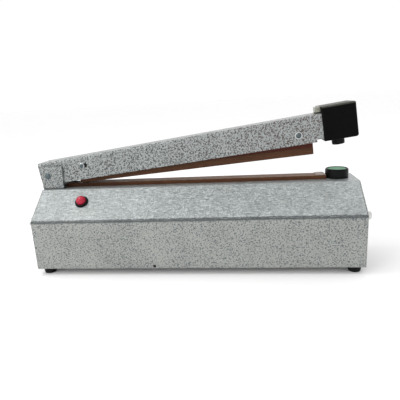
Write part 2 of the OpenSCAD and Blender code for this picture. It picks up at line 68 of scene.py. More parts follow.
MB = Matrix.Scale(0.001, 4) @ Matrix.Translation((0, FY, 0))
MA = MB @ Matrix.Translation((HX, YC, HZ)) @ Matrix.Rotation(-(OPEN + TILT), 4, 'Y')
MP = MA @ Matrix.Translation((PV[0], 0, PV[1])) @ Matrix.Rotation(AA - BA, 4, 'Y')
MS = MB @ Matrix.Translation((LX, LS * math.cos(SL), ZK + LS * math.sin(SL))) @ Matrix.Rotation(SL, 4, 'X')


# ------------------------------------------------------------------ mesh helpers
def new_obj(name, bm):
    bmesh.ops.recalc_face_normals(bm, faces=bm.faces)
    me = bpy.data.meshes.new(name)
    bm.to_mesh(me)
    bm.free()
    ob = bpy.data.objects.new(name, me)
    sc.collection.objects.link(ob)
    return ob


def fillet(pts, seg=5):
    """Closed polygon; each point is (a, b) or (a, b, radius)."""
    out, n = [], len(pts)
    for i, p in enumerate(pts):
        r = p[2] if len(p) > 2 else 0
        c = Vector((p[0], p[1]))
        if r <= 0:
            out.append(c)
            continue
        a, b = Vector(pts[i - 1][:2]), Vector(pts[(i + 1) % n][:2])
        d1, d2 = (a - c).normalized(), (b - c).normalized()
        half = d1.angle(d2) / 2
        t = min(r / math.tan(half), (a - c).length * 0.49, (b - c).length * 0.49)
        r = t * math.tan(half)
        o = c + (d1 + d2).normalized() * (r / math.sin(half))
        s, e = c + d1 * t - o, c + d2 * t - o
        a0 = math.atan2(s.y, s.x)
        da = math.atan2(e.y, e.x) - a0
        while da > math.pi: da -= 2 * math.pi
        while da < -math.pi: da += 2 * math.pi
        for k in range(seg + 1):
            w = a0 + da * k / seg
            out.append(o + Vector((math.cos(w), math.sin(w))) * r)
    return out


def prism(name, pts, axis, a, b, seg=5):
    pts = fillet(pts, seg)
    f = {'x': lambda p, t: (t, p[0], p[1]), 'y': lambda p, t: (p[0], t, p[1]), 'z': lambda p, t: (p[0], p[1], t)}[axis]
    bm = bmesh.new()
    lo = [bm.verts.new(f(p, a)) for p in pts]
    hi = [bm.verts.new(f(p, b)) for p in pts]
    n = len(pts)
    bm.faces.new(lo)
    bm.faces.new(hi)
    for i in range(n):
        bm.faces.new((lo[i], lo[(i + 1) % n], hi[(i + 1) % n], hi[i]))
    return new_obj(name, bm)


def lathe(name, prof, seg=64, ring=False):
    """Turns (r, z) round z. Points with r 0 become poles; ring closes the profile on itself."""
    bm = bmesh.new()
    rows = []
    for r, z in prof:
        if r < 1e-6:
            rows.append([bm.verts.new((0, 0, z))])
        else:
            rows.append([bm.verts.new((r * math.cos(2 * math.pi * k / seg), r * math.sin(2 * math.pi * k / seg), z)) for k in range(seg)])
    m = len(rows)
    for i in range(m if ring else m - 1):
        p, q = rows[i], rows[(i + 1) % m]
        for k in range(seg):
            k2 = (k + 1) % seg
            if len(p) == 1 and len(q) == 1:
                continue
            if len(p) == 1:
                bm.faces.new((p[0], q[k], q[k2]))
            elif len(q) == 1:
                bm.faces.new((p[k], p[k2], q[0]))
            else:
                bm.faces.new((p[k], p[k2], q[k2], q[k]))
    return new_obj(name, bm)


def tube(name, pts, r, seg=12, closed_ends=True):
    """A round wire through points, by parallel transport."""
    pts = [Vector(p) for p in pts]
    bm = bmesh.new()
    t = (pts[1] - pts[0]).normalized()
    n = t.orthogonal().normalized()
    rows = []
    for i, p in enumerate(pts):
        t2 = (pts[min(i + 1, len(pts) - 1)] - pts[max(i - 1, 0)]).normalized()
        q = t.rotation_difference(t2)
        n = (q @ n)
        n = (n - t2 * n.dot(t2)).normalized()
        b = t2.cross(n)
        t = t2
        rows.append([bm.verts.new(p + (n * math.cos(2 * math.pi * k / seg) + b * math.sin(2 * math.pi * k / seg)) * r) for k in range(seg)])
    for p, q in zip(rows, rows[1:]):
        for k in range(seg):
            bm.faces.new((p[k], p[(k + 1) % seg], q[(k + 1) % seg], q[k]))
    if closed_ends:
        bm.faces.new(rows[0])
        bm.faces.new(rows[-1])
    return new_obj(name, bm)


def settle(ob):
    """Applies the object's modifiers to its mesh."""
    dg = bpy.context.evaluated_depsgraph_get()
    me = bpy.data.meshes.new_from_object(ob.evaluated_get(dg))
    ob.modifiers.clear()
    old = ob.data
    ob.data = me
    bpy.data.meshes.remove(old)
    return ob


def boolean(ob, cutters, op='DIFFERENCE'):
    for c in cutters if isinstance(cutters, (list, tuple)) else [cutters]:
        m = ob.modifiers.new('b', 'BOOLEAN')
        m.operation, m.solver, m.object = op, 'EXACT', c
        settle(ob)
        bpy.data.objects.remove(c)
    return ob


def moved(ob, m):
    ob.data.transform(m)
    return ob


def at(x, y, z, axis='z'):
    m = Matrix.Translation((x, y, z))
    if axis == 'y': m = m @ Matrix.Rotation(-math.pi / 2, 4, 'X')      # +z of the piece to +y
    if axis == '-y': m = m @ Matrix.Rotation(math.pi / 2, 4, 'X')
    if axis == 'x': m = m @ Matrix.Rotation(math.pi / 2, 4, 'Y')
    if axis == '-x': m = m @ Matrix.Rotation(-math.pi / 2, 4, 'Y')
    return m


def cyl(r, h, x=0, y=0, z=0, axis='z', seg=48):
    return moved(lathe('c', [(0, 0), (r, 0), (r, h), (0, h)], seg), at(x, y, z, axis))


def bar(x0, x1, y0, y1, z0, z1):
    return prism('c', [(x0, y0), (x1, y0), (x1, y1), (x0, y1)], 'z', z0, z1)


def slot_cut(l, d, h, x, y, z, axis='y', turn=False):
    """Obround cutter, length l along x (along z when turned), through h along axis."""
    r, k = d / 2, l / 2 - d / 2
    pts = [(k + r * math.cos(a), r * math.sin(a)) for a in [math.pi * (-0.5 + i / 12) for i in range(13)]]
    pts += [(-k - r * math.cos(a), -r * math.sin(a)) for a in [math.pi * (-0.5 + i / 12) for i in range(13)]]
    if turn: pts = [(-b, a) for a, b in pts]
    return moved(prism('c', pts, axis, -h / 2, h / 2), Matrix.Translation((x, y, z)))


def bevel(ob, w, seg=2, angle=32):
    m = ob.modifiers.new('v', 'BEVEL')
    m.width, m.segments, m.limit_method, m.angle_limit = w, seg, 'ANGLE', math.radians(angle)
    m.miter_outer = 'MITER_ARC' if seg > 2 else 'MITER_SHARP'
    m.use_clamp_overlap = True
    return settle(ob)


def finish_piece(ob, m, mat, body, nodes, sharp=38, weighted=True):
    if m is not None: ob.data.transform(m)
    me = ob.data
    bm = bmesh.new(); bm.from_mesh(me)
    bmesh.ops.remove_doubles(bm, verts=bm.verts, dist=1e-7)
    bmesh.ops.recalc_face_normals(bm, faces=bm.faces)
    for f in bm.faces: f.smooth = True
    for e in bm.edges:
        e.smooth = not (len(e.link_faces) == 2 and e.calc_face_angle(0) > math.radians(sharp))
    bm.to_mesh(me); bm.free()
    me.materials.clear()
    me.materials.append(mat)
    if weighted:
        w = ob.modifiers.new('wn', 'WEIGHTED_NORMAL')
        w.keep_sharp, w.weight, w.mode = True, 100, 'FACE_AREA'
    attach(ob, body)
    if nodes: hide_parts(*([nodes] if isinstance(nodes, str) else nodes))
    return ob


def join(name, obs):
    bm = bmesh.new()
    for o in obs:
        bm.from_mesh(o.data)
    for o in obs: bpy.data.objects.remove(o)
    return new_obj(name, bm)


# ------------------------------------------------------------------ materials
class Mat:
    def __init__(self, name):
        self.m = bpy.data.materials.new(name)
        self.m.use_nodes = True
        self.t = self.m.node_tree
        self.b = self.t.nodes['Principled BSDF']
        self.tc = self.t.nodes.new('ShaderNodeTexCoord')
        self.mp = self.t.nodes.new('ShaderNodeMapping')
        self.mp.inputs['Scale'].default_value = (1000, 1000, 1000)
        self.link(self.tc.outputs['Object'], self.mp.inputs['Vector'])
        self.v = self.mp.outputs['Vector']

    def link(self, a, b): self.t.links.new(a, b)

    def node(self, kind, **kw):
        n = self.t.nodes.new(kind)
        for k, v in kw.items():
            if hasattr(n, k): setattr(n, k, v)
        return n

    def noise(self, scale, detail=2, rough=0.5, dist=0.0, vec=None, w=None):
        n = self.node('ShaderNodeTexNoise')
        n.inputs['Scale'].default_value = scale
        n.inputs['Detail'].default_value = detail
        n.inputs['Roughness'].default_value = rough
        n.inputs['Distortion'].default_value = dist
        self.link(vec or self.v, n.inputs['Vector'])
        return n.outputs['Fac']

    def voronoi(self, scale, feature='F1', vec=None, rnd=1.0, smooth=None):
        n = self.node('ShaderNodeTexVoronoi')
        n.feature = feature
        n.inputs['Scale'].default_value = scale
        n.inputs['Randomness'].default_value = rnd
        if smooth is not None and 'Smoothness' in n.inputs: n.inputs['Smoothness'].default_value = smooth
        self.link(vec or self.v, n.inputs['Vector'])
        return n.outputs['Distance']

    def wave(self, scale, direction='X', dist=0.0, dscale=1.0, vec=None, detail=1):
        n = self.node('ShaderNodeTexWave')
        n.bands_direction = direction
        n.inputs['Scale'].default_value = scale
        n.inputs['Distortion'].default_value = dist
        n.inputs['Detail'].default_value = detail
        n.inputs['Detail Scale'].default_value = dscale
        self.link(vec or self.v, n.inputs['Vector'])
        return n.outputs['Fac']

    def scaled(self, s, rot=(0, 0, 0), vec=None):
        n = self.node('ShaderNodeMapping')
        n.inputs['Scale'].default_value = s
        n.inputs['Rotation'].default_value = rot
        self.link(vec or self.v, n.inputs['Vector'])
        return n.outputs['Vector']

    def ramp(self, fac, stops, interp='LINEAR'):
        n = self.node('ShaderNodeValToRGB')
        n.color_ramp.interpolation = interp
        e = n.color_ramp.elements
        while len(e) < len(stops): e.new(0.5)
        for el, (p, c) in zip(e, stops):
            el.position = p
            el.color = (*c, 1) if hasattr(c, '__len__') else (c, c, c, 1)
        self.link(fac, n.inputs['Fac'])
        return n.outputs['Color']

    def math(self, op, a, b=None, c=None, clamp=False):
        n = self.node('ShaderNodeMath')
        n.operation, n.use_clamp = op, clamp
        for i, x in enumerate((a, b, c)):
            if x is None: continue
            if isinstance(x, (int, float)): n.inputs[i].default_value = x
            else: self.link(x, n.inputs[i])
        return n.outputs[0]

    def mix(self, fac, a, b, mode='MIX'):
        n = self.node('ShaderNodeMix')
        n.data_type, n.blend_type = 'RGBA', mode
        for k, x in ((0, fac), (6, a), (7, b)):
            if isinstance(x, (int, float)): n.inputs[k].default_value = x
            elif isinstance(x, tuple): n.inputs[k].default_value = (*x, 1)
            else: self.link(x, n.inputs[k])
        return n.outputs[2]

    def bump(self, height, strength, distance, normal=None):
        n = self.node('ShaderNodeBump')
        n.inputs['Strength'].default_value = strength
        n.inputs['Distance'].default_value = distance
        self.link(height, n.inputs['Height'])
        if normal is not None: self.link(normal, n.inputs['Normal'])
        return n.outputs['Normal']

    def out(self, color=None, rough=None, normal=None, **const):
        i = self.b.inputs
        if color is not None:
            if isinstance(color, tuple): i['Base Color'].default_value = (*color, 1)
            else: self.link(color, i['Base Color'])
        if rough is not None:
            if isinstance(rough, (int, float)): i['Roughness'].default_value = rough
            else: self.link(rough, i['Roughness'])
        if normal is not None: self.link(normal, i['Normal'])
        for k, v in const.items():
            i[{'metal': 'Metallic', 'coat': 'Coat Weight', 'coat_rough': 'Coat Roughness', 'ior': 'IOR', 'trans': 'Transmission Weight',
               'sheen': 'Sheen Weight', 'spec': 'Specular IOR Level', 'sss': 'Subsurface Weight', 'sss_scale': 'Subsurface Scale', 'alpha': 'Alpha'}[k]].default_value = v
        return self.m


def hammer(name, light, dark, scale=0.27, thr=0.47, soft=0.035, bump=0.4, rough=0.36, tint=None, blotch=0.10, metal=0.3, edge=None, edge_w=1.3, ripple_sheen=0.0, coat_rough=0.16):
    """Hammertone enamel: a light ground with dark worm-shaped cells; the film is raised between them. Options paint a
    seam-shade band and sheen streaks into the colour.
    """
    M = Mat(name)
    n1 = M.noise(scale, 1.5, 0.45, 0.7)
    n2 = M.noise(scale * 2.3, 1.0, 0.5, 0.3)
    mixn = M.math('ADD', M.math('MULTIPLY', n1, 0.78), M.math('MULTIPLY', n2, 0.22))
    slow = M.math('MULTIPLY', M.math('SUBTRACT', M.noise(0.035, 3, 0.6), 0.5), 0.09)
    pat = M.ramp(M.math('ADD', mixn, slow), [(thr - soft, 1.0), (thr + soft, 0.0)], 'EASE')
    fine = M.ramp(M.noise(1.3, 2, 0.6), [(0.3, 0.86), (0.7, 1.08)])
    dk = dark
    if tint:
        x = M.node('ShaderNodeSeparateXYZ'); M.link(M.v, x.inputs[0])
        dk = M.mix(M.ramp(M.math('MULTIPLY_ADD', x.outputs[0], 0.0025, 0.5), [(0.35, 0.0), (0.75, 1.0)]), dark, tint)
    col = M.mix(pat, light, dk)
    col = M.mix(1.0, col, fine, 'MULTIPLY')
    n3 = None
    # Painted sheen: horizontally stretched streaks lighten and darken the colour in place of glare streaks on the
    # rippled film; the same noise also feeds the bump below.
    if ripple_sheen:
        n3 = M.noise(0.56, 3, 0.62, 0.3, vec=M.scaled((0.30, 1, 1)))
        col = M.mix(1.0, col, M.ramp(n3, [(0.32, 1 - ripple_sheen), (0.50, 1.0), (0.68, 1 + ripple_sheen * 1.3)]), 'MULTIPLY')
    blot = M.ramp(M.noise(0.03, 3, 0.6), [(0.25, 1 - blotch), (0.75, 1 + blotch * 0.4)])
    col = M.mix(1.0, col, blot, 'MULTIPLY')
    # Painted seam shade: a dark band at height edge, half width edge_w, wobbled by noise, painted where the seam
    # between slope cover and front panel lies in shade.
    if edge:
        z = M.node('ShaderNodeSeparateXYZ'); M.link(M.v, z.inputs[0])
        k = M.math('MULTIPLY_ADD', M.noise(0.30, 3, 0.6), 3.0, -1.5)
        d = M.math('ABSOLUTE', M.math('SUBTRACT', M.math('ADD', z.outputs[2], k), edge))
        k = M.math('MULTIPLY', M.math('SUBTRACT', 1.0, M.math('DIVIDE', d, edge_w), clamp=True), 1.1, clamp=True)
        k = M.math('MULTIPLY', k, M.math('LESS_THAN', z.outputs[1], FY + 4.0))          # along the front seam only
        col = M.mix(k, col, (0.075, 0.085, 0.088))
    h = M.math('ADD', M.math('MULTIPLY', M.math('SUBTRACT', 1.0, pat), 0.55), M.math('MULTIPLY', n2, 0.9))
    if n3 is not None: h = M.math('ADD', h, M.math('MULTIPLY', n3, 1.3))
    r = M.math('ADD', M.math('MULTIPLY', pat, 0.10), M.math('ADD', rough - 0.04, M.math('MULTIPLY', M.noise(0.05, 3), 0.10)))
    nrm = M.bump(h, bump, 0.0007)
    wave = M.bump(M.noise(0.055, 2), 0.22, 0.004, nrm)
    return M.out(col, r, wave, metal=metal, coat=0.30, coat_rough=coat_rough)


paint_arm = hammer('paint_arm', (0.322, 0.347, 0.345), (0.066, 0.068, 0.066), scale=0.62, thr=0.478, soft=0.030, tint=(0.080, 0.060, 0.056), bump=0.35)
# edge and edge_w paint the seam-shade band: below the seam on the front panel, on the lip above it on the slope.
paint_front = hammer('paint_front', (0.335, 0.345, 0.325), (0.108, 0.126, 0.136), scale=0.60, thr=0.455, soft=0.045, rough=0.42, edge=ZK - 1.9, edge_w=2.1)
# paint_slope: the same enamel as paint_front, painted lighter, bluer and lower in contrast, a painted sheen for the
# upward-facing slope.
paint_slope = hammer('paint_slope', (0.455, 0.490, 0.488), (0.325, 0.358, 0.360), scale=0.55, thr=0.455, soft=0.07, bump=1.0, rough=0.28, metal=0.35, edge=ZK + 0.1, edge_w=1.2, ripple_sheen=0.27, blotch=0.16, coat_rough=0.11)
paint_tang = hammer('paint_tang', (0.30, 0.30, 0.25), (0.20, 0.20, 0.165), scale=0.4, thr=0.45, soft=0.1, bump=0.25, rough=0.42)


def plastic(name, color, rough=0.42, grain=1.6, bump=0.06, vary=0.25, painted_top_highlight=None, **kw):
    M = Mat(name)
    n = M.noise(0.08, 4, 0.6)
    lo = tuple(c * (1 - vary) for c in color); hi = tuple(min(1, c * (1 + vary)) for c in color)
    col = M.ramp(n, [(0.3, lo), (0.7, hi)])
    if painted_top_highlight:
        # Upward faces are mixed towards a lighter colour, patchy by noise: a painted highlight of the light from above.
        g = M.node('ShaderNodeNewGeometry'); z = M.node('ShaderNodeSeparateXYZ'); M.link(g.outputs['Normal'], z.inputs[0])
        up = M.math('MULTIPLY', M.ramp(z.outputs[2], [(0.22, 0.0), (0.75, 1.0)]), M.ramp(M.noise(0.25, 4, 0.6), [(0.3, 0.6), (0.7, 1.0)]))
        col = M.mix(up, col, painted_top_highlight)
    r = M.math('ADD', rough - 0.05, M.math('MULTIPLY', M.noise(0.3, 4), 0.12))
    nr = M.bump(M.noise(grain, 2), bump, 0.0002)
    return M.out(col, r, nr, **kw)


# black_cap: its lighter top is a painted highlight.
black_cap = plastic('black_cap', (0.0022, 0.0022, 0.0024), 0.36, 2.2, 0.08, painted_top_highlight=(0.085, 0.085, 0.074), spec=0.05)
black_gloss = plastic('black_gloss', (0.0040, 0.0042, 0.0045), 0.30, 1.2, 0.03, spec=0.10)
rubber = plastic('rubber', (0.0045, 0.0045, 0.0045), 0.6, 1.4, 0.15, spec=0.16)
green_cap = plastic('green_cap', (0.15, 0.36, 0.215), 0.42, 0.8, 0.04, vary=0.08, spec=0.12)
nylon = plastic('nylon', (0.72, 0.69, 0.60), 0.45, 1.2, 0.05, vary=0.05)
silicone = plastic('silicone', (0.42, 0.10, 0.05), 0.6, 1.0, 0.08)
pvc = plastic('pvc', (0.40, 0.04, 0.03), 0.38, 1.0, 0.03)


def metal(name, color, rough=0.3, brush=(0.2, 6.0, 6.0), bump=0.10, vary=0.12, dirt=0.25):
    M = Mat(name)
    v = M.scaled(brush)
    s = M.noise(1.0, 4, 0.6, vec=v)
    d = M.noise(0.35, 4, 0.65)
    base = M.ramp(s, [(0.3, tuple(c * (1 - vary) for c in color)), (0.7, tuple(min(1, c * (1 + vary * 0.6)) for c in color))])
    col = M.mix(M.math('MULTIPLY', M.ramp(d, [(0.5, 0.0), (0.8, 1.0)]), dirt), base, tuple(c * 0.45 for c in color))
    r = M.math('ADD', rough - 0.06, M.math('MULTIPLY', s, 0.16))
    return M.out(col, r, M.bump(s, bump, 0.0001), metal=1.0)


zinc = metal('zinc', (0.36, 0.39, 0.38), 0.34, (1.2, 1.2, 1.2))
dark_steel = metal('dark_steel', (0.10, 0.125, 0.135), 0.36, (1.2, 1.2, 1.2))
bright = metal('bright', (0.62, 0.63, 0.62), 0.25, (1.2, 1.2, 1.2))
steel = metal('steel', (0.48, 0.48, 0.49), 0.32)
alu = metal('aluminium', (0.74, 0.74, 0.75), 0.33)
brass = metal('brass', (0.72, 0.52, 0.22), 0.3, (1.5, 1.5, 1.5))
core = metal('core', (0.16, 0.16, 0.18), 0.5, (0.2, 14.0, 0.2), 0.3)
copper = metal('copper', (0.50, 0.20, 0.07), 0.35, (0.3, 4.0, 9.0), 0.35)


def ptfe(name, color, painted_top_sheen=None, angle=0.0, painted_left_shadow=None, spec=0.10):
    """Brown PTFE-coated glass cloth: fine square weave under a waxy coat, with long streaks and rubbed patches; options
    paint a sheen on the upward faces and a shadow towards low x.
    """
    M = Mat(name)
    v = M.scaled((1, 1, 1), (0, angle, 0))
    a = M.wave(1.05, 'X', 0.35, 2.0, v)
    b = M.wave(1.05, 'Y', 0.35, 2.0, v)
    c = M.wave(1.05, 'Z', 0.35, 2.0, v)
    weave = M.math('MULTIPLY', a, M.math('MAXIMUM', b, c))
    streak = M.noise(1.0, 4, 0.6, vec=M.scaled((0.02, 0.9, 0.9), (0, angle, 0)))
    blot = M.noise(0.06, 4, 0.65)
    lo = tuple(x * 0.62 for x in color); hi = tuple(min(1, x * 1.45) for x in color)
    col = M.ramp(streak, [(0.30, lo), (0.52, color), (0.75, hi)])
    col = M.mix(M.math('MULTIPLY', M.ramp(blot, [(0.35, 0.0), (0.72, 1.0)]), 0.45), col, tuple(min(1, x * 1.7) for x in color))
    col = M.mix(M.math('MULTIPLY', weave, 0.22), col, tuple(x * 0.5 for x in color))
    if painted_left_shadow:
        # The colour darkens towards low x: a painted shadow of the arm over the left part of the lower jaw.
        x = M.node('ShaderNodeSeparateXYZ'); M.link(M.v, x.inputs[0])
        k = M.ramp(M.math('DIVIDE', M.math('SUBTRACT', x.outputs[0], painted_left_shadow[0]), painted_left_shadow[1] - painted_left_shadow[0], clamp=True), [(0.0, painted_left_shadow[2]), (1.0, 1.0)])
        col = M.mix(1.0, col, k, 'MULTIPLY')
    if painted_top_sheen:
        # Upward faces are mixed towards a lighter colour, patchy by noise: a painted sheen of the bright surroundings
        # on the cloth's top.
        g = M.node('ShaderNodeNewGeometry'); z = M.node('ShaderNodeSeparateXYZ'); M.link(g.outputs['Normal'], z.inputs[0])
        up = M.ramp(z.outputs[2], [(0.72, 0.0), (0.96, 1.0)])
        col = M.mix(M.math('MULTIPLY', up, M.ramp(M.noise(0.12, 3, 0.6), [(0.3, 0.35), (0.7, 0.9)])), col, painted_top_sheen)
    r = M.math('ADD', 0.36, M.math('MULTIPLY', blot, 0.22))
    h = M.math('ADD', M.math('MULTIPLY', weave, 0.5), M.math('MULTIPLY', M.noise(0.25, 3), 1.2))
    return M.out(col, r, M.bump(h, 0.35, 0.0003), spec=spec)


# cloth_low: a painted sheen on its top faces and a painted shadow of the arm towards its left end.
cloth_low = ptfe('cloth_low', (0.082, 0.036, 0.018), painted_top_sheen=(0.32, 0.205, 0.145), painted_left_shadow=(-135, -60, 0.5), spec=0.07)
# cloth_fold: a lighter, glossier copy of the brown cloth with a painted sheen on top, painted highlights on the
# wrinkled fold.
cloth_fold = ptfe('cloth_fold', (0.20, 0.13, 0.10), painted_top_sheen=(0.52, 0.42, 0.38), spec=0.35)
cloth_up = ptfe('cloth_up', (0.080, 0.035, 0.018), angle=BA)

M = Mat('phenolic')
lam = M.wave(0.55, 'Z', 1.2, 0.6, M.scaled((0.15, 1, 1), (0, BA, 0)))
col = M.ramp(lam, [(0.2, (0.058, 0.011, 0.008)), (0.6, (0.084, 0.016, 0.010)), (0.9, (0.108, 0.026, 0.014))])
col = M.mix(M.math('MULTIPLY', M.noise(0.5, 4, 0.6), 0.4), col, (0.06, 0.022, 0.014))
phenolic = M.out(col, M.math('ADD', 0.36, M.math('MULTIPLY', lam, 0.15)), M.bump(lam, 0.15, 0.0002), spec=0.12)

M = Mat('glass_cloth')
wv = M.math('MULTIPLY', M.wave(0.9, 'X', 0.4), M.wave(0.9, 'Y', 0.4))
glass_cloth = M.out(M.ramp(wv, [(0.1, (0.55, 0.52, 0.42)), (0.8, (0.82, 0.80, 0.70))]), 0.7, M.bump(wv, 0.4, 0.0003))

M = Mat('red_lens')
n = M.noise(0.6, 3)
red_lens = M.out(M.ramp(n, [(0.3, (0.40, 0.006, 0.028)), (0.7, (0.52, 0.014, 0.050))]), M.math('ADD', 0.08, M.math('MULTIPLY', n, 0.08)), None,
                 trans=0.15, ior=1.42, spec=0.35, coat=0.15, coat_rough=0.08, sss=0.0)
M = Mat('neon_glass')
neon = M.out(M.ramp(M.noise(0.5, 2), [(0.3, (0.9, 0.55, 0.35)), (0.7, (0.95, 0.7, 0.5))]), 0.08, None, trans=0.8, ior=1.5)


# ------------------------------------------------------------------ base body
tray = prism('tray', [(0, ZK - 1.5, 0.35), (0, Z0, 1.8), (BD, Z0, 1.8), (BD, ZT - 1.3, 0.35), (BD - ST, ZT - 1.3, 0.35), (BD - ST, Z0 + ST, 0.6),
                      (ST, Z0 + ST, 0.6), (ST, ZK - 1.5, 0.35)], 'x', -HL + 1.5, HL - 1.5)
cuts = [slot_cut(26, 4, 12, -100 + i * 12, BD, Z0 + 30, 'y', True) for i in range(7)]
cuts.append(cyl(7.05, 12, 60, BD - 6, Z0 + 24, 'y'))
cuts.append(cyl(1.9, 6, -48.2, -2, Z0 + 3.4, 'y', 28))
FEET = [(-HL + 10.4, 12), (HL - 10.4, 12), (-HL + 10.4, BD - 12), (HL - 10.4, BD - 12)]
cuts += [cyl(2.05, 4, x, y, Z0 - 1, seg=24) for x, y in FEET + [(-66, 45), (46, 45)]] + [cyl(1.55, 4, x, 45, Z0 - 1, seg=24) for x in (100, 130)]
boolean(tray, cuts)
finish_piece(tray, MB, paint_front, 'base', 'base_tray')

zi = ZK + 2 * ST * math.tan(SL) - ST / math.cos(SL)
cover = prism('cover', [(0, ZK, 0.5), (40, ZT, 2.4), (BD, ZT, 0.4), (BD, ZT - ST, 0.3), (BD - ST - 0.1, ZT - ST, 0.2), (BD - ST - 0.1, ZT - 9),
                        (BD - 2 * ST - 0.1, ZT - 9), (BD - 2 * ST - 0.1, ZT - ST, 1.0), (40 + ST * math.tan(SL / 2), ZT - ST, 1.2), (2 * ST, zi, 0.6),
                        (2 * ST, ZK - 8.4), (ST, ZK - 8.4), (ST, ZK - 0.25), (0, ZK - 0.25, 0.1)], 'x', -HL + 1.5, HL - 1.5)
hole = moved(lathe('c', [(0, -6), (6.05, -6), (6.05, 6), (0, 6)], 48), Matrix.Translation((LX, LS * math.cos(SL), ZK + LS * math.sin(SL))) @ Matrix.Rotation(SL, 4, 'X'))
boolean(cover, [cyl(2.05, 10, x, YC, ZT - 5, seg=24) for x in (-120, -5, 110, -HL + 7, -HL + 17)] + [hole, cyl(11.05, 12, BX, BY, ZT - 6), bar(JX0 + 1, JX0 + 9, YC - 3, YC + 3, ZT - 5, ZT + 5), bar(JX1 - 9, JX1 - 1, YC - 3, YC + 3, ZT - 5, ZT + 5)])
finish_piece(cover, MB, paint_slope, 'base', 'top_cover')

END = [(6.5, ZK - 2), (BD - 9, ZT - 12), (BD - 9, Z0 + 12)]
for s, side in ((-1, 'left'), (1, 'right')):
    x0, x1 = (HL - 1.5, HL) if s > 0 else (-HL, -HL + 1.5)
    p = prism('end_' + side, [(0, Z0, 1.6), (BD, Z0, 1.6), (BD, ZT, 0.8), (40, ZT, 2.2), (0, ZK, 1.2)], 'x', x0, x1)
    bevel(p, 0.35, 2, 50)
    boolean(p, [cyl(2.05, 4, x0 - 1, y, z, 'x', 24) for y, z in END])
    finish_piece(p, MB, paint_front, 'base', 'end_panel_' + side)


def pan_head(r, h, shaft_r, shaft_l, slot=1.1, depth=None, seg=48):
    """Slotted pan-head screw, seat at z 0, head up."""
    prof = [(0, -shaft_l), (shaft_r - 0.4, -shaft_l), (shaft_r, -shaft_l + 0.4), (shaft_r, 0), (r - 0.25, 0), (r, 0.25), (r, h * 0.42)]
    prof += [(r * math.cos(a) ** 0.8, h * 0.42 + h * 0.58 * math.sin(a)) for a in [math.pi / 2 * k / 8 for k in range(1, 8)]] + [(0, h)]
    o = lathe('s', prof, seg)
    d = depth or h * 0.45
    return boolean(o, bar(-r - 1, r + 1, -slot / 2, slot / 2, h - d, h + 1))


heads = []
for s in (-1, 1):
    for i, (y, z) in enumerate(END):
        o = pan_head(4.7, 4.7, 2, 8)
        moved(o, Matrix.Rotation(0.5 + i * 1.1, 4, 'Z'))
        heads.append(moved(o, at(s * HL, y, z, 'x' if s > 0 else '-x')))
finish_piece(join('end_screws', heads), MB, bright, 'base', 'end_panel_screws', 35)

feet, fscr = [], []
for x, y in FEET:
    feet.append(moved(lathe('f', [(4.5, 0.4), (4.9, 0), (6.0, 0), (6.7, 0.35), (7.15, 1.2), (7.4, 2.2), (8.0, 7.2), (7.9, 7.7), (7.5, 8.0), (2.1, 8.0), (2.1, 3.5), (4.5, 3.5)], 56, ring=True), at(x, y, 0)))
    fscr.append(moved(lathe('f', [(0, 1.3), (3.0, 1.3), (3.8, 2.0), (3.8, 3.5), (2, 3.5), (2, Z0 + 6), (0, Z0 + 6)], 32), at(x, y, 0)))
    fscr.append(moved(lathe('f', [(2.05, Z0 + ST), (4, Z0 + ST), (4, Z0 + 3.8), (3.5, Z0 + 4.2), (2.05, Z0 + 4.2)], 6, ring=True), at(x, y, 0)))
finish_piece(join('feet', feet), MB, rubber, 'base', 'rubber_feet', 50)
finish_piece(join('feet_screws', fscr), MB, zinc, 'base', 'foot_screws')

# hinge bracket: one strip bent to a U, ears rounded at the top
y0, y1, eh = YC - EW, YC + EW, 30
br = prism('bracket', [(y0, ZT + 40), (y0, ZT, 2.8), (y1, ZT, 2.8), (y1, ZT + 40), (y1 - 2, ZT + 40), (y1 - 2, ZT + 2, 0.8), (y0 + 2, ZT + 2, 0.8), (y0 + 2, ZT + 40)], 'x', -HL - 5, -HL + 40, 6)
boolean(br, prism('c', [(-HL, ZT - 1), (-HL + 27.9, ZT - 1), (-HL + 29.2, ZT + eh + 0.4, 2.2), (-HL - 0.1, ZT + eh - 0.4, 2.0)], 'y', y0 - 5, y1 + 5, 8), 'INTERSECT')
boolean(br, [bar(-HL + 23, -HL + 40, y0 + 2.9, y1 - 2.9, ZT - 5, ZT + 2.9), cyl(3.02, 60, HX, y0 - 5, HZ, 'y')] + [cyl(2.05, 6, x, YC, ZT - 2, seg=24) for x in (-HL + 7, -HL + 17)])
bevel(br, 0.3, 2, 50)
finish_piece(br, MB, paint_arm, 'base', 'hinge_bracket')

pin = lathe('pin', [(0, y0 - 1.5)] + [(3.7 * math.sin(a), y0 - 0.05 - 1.45 * math.cos(a)) for a in [math.pi / 2 * k / 6 for k in range(1, 6)]] + [(3.75, y0 - 0.05), (3.0, y0 + 0.0), (3.0, y1)]
            + [(3.75, y1 + 0.05)] + [(3.7 * math.cos(a), y1 + 0.05 + 1.45 * math.sin(a)) for a in [math.pi / 2 * k / 6 for k in range(1, 6)]] + [(0, y1 + 1.5)], 48)
finish_piece(moved(pin, at(HX, 0, HZ, 'y')), MB, dark_steel, 'base', 'hinge_pin')

pts = [(4.6, 8.1, -HZ + ZT + 3.0)] + [(4.6, 8.1, -HZ + ZT + 3.0 + k * 1.6) for k in range(1, 8)]
turns = 9
for k in range(turns * 20 + 1):
    a = 2 * math.pi * k / 20
    pts.append((5.0 * math.cos(a), 8.0 - 16.0 * k / (turns * 20), 5.0 * math.sin(a)))
a = 2 * math.pi * turns
pts += [(5.0 + 0.0, -8.0, 2.0), (6.0, -8.0, 4.0), (9, -8.0, 4.8), (13, -8.0, 4.9), (16.5, -8.0, 4.9)]
finish_piece(tube('coil', [(HX + p[0], YC + p[1], HZ + p[2]) for p in pts], 0.75, 10), MB, steel, 'base', 'return_spring')

